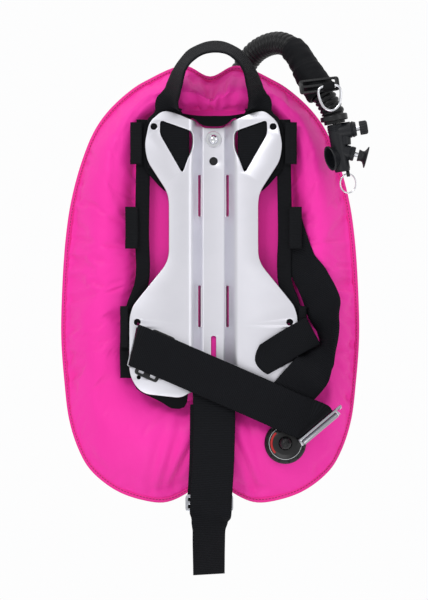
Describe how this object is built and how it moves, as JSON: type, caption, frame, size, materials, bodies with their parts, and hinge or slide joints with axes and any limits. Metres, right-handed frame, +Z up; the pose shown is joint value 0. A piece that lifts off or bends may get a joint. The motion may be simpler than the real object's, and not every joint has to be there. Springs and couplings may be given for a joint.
{
  "type": "buoyancy compensator vest",
  "caption": "Diving buoyancy vest: a folded steel backplate with webbing straps, an inflatable ring-shaped wing, a corrugated inflator hose and a pull dump valve.",
  "frame": {"origin": "on the rear face of the plate channel, midway between the two tank bolts", "axes": "+Y towards the tank, +Z up towards the shoulders, +X to the diver's left"},
  "size_m": [0.3696, 0.1455, 0.6505],
  "materials": {
    "plate_steel": "satin bead-blasted",
    "bright_steel": "polished",
    "wing_nylon": "woven nylon, slight sheen",
    "bladder_film": "translucent film",
    "pad_fabric": "coated cloth",
    "webbing": "ribbed webbing",
    "black_plastic": "moulded",
    "rubber": "matt",
    "hose_rubber": "corrugated, semi-matt"
  },
  "bodies": {
    "vest": {"backplate": "plate_steel", "buckle_frame": "plate_steel", "crotch_strap_slider": "plate_steel", "bolt_washer_upper": "bright_steel", "bolt_washer_lower": "bright_steel", "tank_bolt_upper": "bright_steel", "tank_bolt_lower": "bright_steel", "bolt_nut_upper": "bright_steel", "bolt_nut_lower": "bright_steel", "buckle_pin": "bright_steel", "buckle_rivet": "bright_steel", "wing_front_shell": "wing_nylon", "wing_rear_shell": "wing_nylon", "wing_seam_binding": "wing_nylon", "wing_centre_panel": "wing_nylon", "bladder_front": "bladder_film", "bladder_rear": "bladder_film", "upper_back_pad": "pad_fabric", "lower_back_pad_left": "pad_fabric", "lower_back_pad_right": "pad_fabric", "side_band_left": "webbing", "side_band_right": "webbing", "top_loop_left": "webbing", "top_loop_right": "webbing", "middle_loop_left": "webbing", "middle_loop_right": "webbing", "bottom_loop_left": "webbing", "bottom_loop_right": "webbing", "shoulder_webbing": "webbing", "waist_strap_left": "webbing", "shoulder_strap_right": "webbing", "waist_loop_right": "webbing", "crotch_strap": "webbing", "crotch_strap_return": "webbing", "hose_sleeve": "webbing", "d_ring_tab": "webbing", "waist_keeper": "black_plastic", "hose_elbow": "black_plastic", "hose_tie": "black_plastic", "hose_triglide": "black_plastic", "inflator_body": "black_plastic", "dump_valve_body": "black_plastic", "dump_valve_nut": "black_plastic", "dump_valve_cover": "black_plastic", "bolt_patch_upper": "rubber", "bolt_patch_lower": "rubber", "hose": "hose_rubber"},
    "inflate_button": {"inflate_button": "rubber", "inflate_stem": "bright_steel", "inflate_spring": "bright_steel"},
    "deflate_button": {"deflate_button": "rubber", "deflate_stem": "bright_steel", "deflate_spring": "bright_steel"},
    "dump_knob": {"dump_knob": "black_plastic", "dump_diaphragm": "rubber", "dump_spring": "bright_steel"},
    "buckle_lever": {"buckle_lever": "plate_steel"},
    "d_ring": {"d_ring": "bright_steel"},
    "inflator_ring": {"inflator_ring": "bright_steel"}
  },
  "joints": [
    {"name": "inflate_press", "type": "slide", "parent": "vest", "child": "inflate_button", "axis": [-0.9872, 0, -0.1593], "range_m": [0, 0.004], "stiffness_N_per_m": 600, "springref_m": -0.002},
    {"name": "deflate_press", "type": "slide", "parent": "vest", "child": "deflate_button", "axis": [-0.9664, 0, 0.2571], "range_m": [0, 0.004], "stiffness_N_per_m": 600, "springref_m": -0.002},
    {"name": "dump_pull", "type": "slide", "parent": "vest", "child": "dump_knob", "axis": [0, -1, 0], "range_m": [0, 0.004], "stiffness_N_per_m": 500, "springref_m": -0.002},
    {"name": "buckle_open", "type": "hinge", "parent": "vest", "child": "buckle_lever", "pos_m": [0.12665, -0.0685, -0.20524], "axis": [-0.7659, 0, -0.6429], "range_deg": [0, 110]},
    {"name": "d_ring_swing", "type": "hinge", "parent": "vest", "child": "d_ring", "pos_m": [0.13707, -0.0557, 0.20101], "axis": [0.9929, 0, 0.1191], "range_deg": [-140, 8]},
    {"name": "inflator_ring_swing", "type": "hinge", "parent": "vest", "child": "inflator_ring", "pos_m": [0.16052, -0.0335, 0.09774], "axis": [1, 0, 0], "range_deg": [-80, 40]}
  ]
}
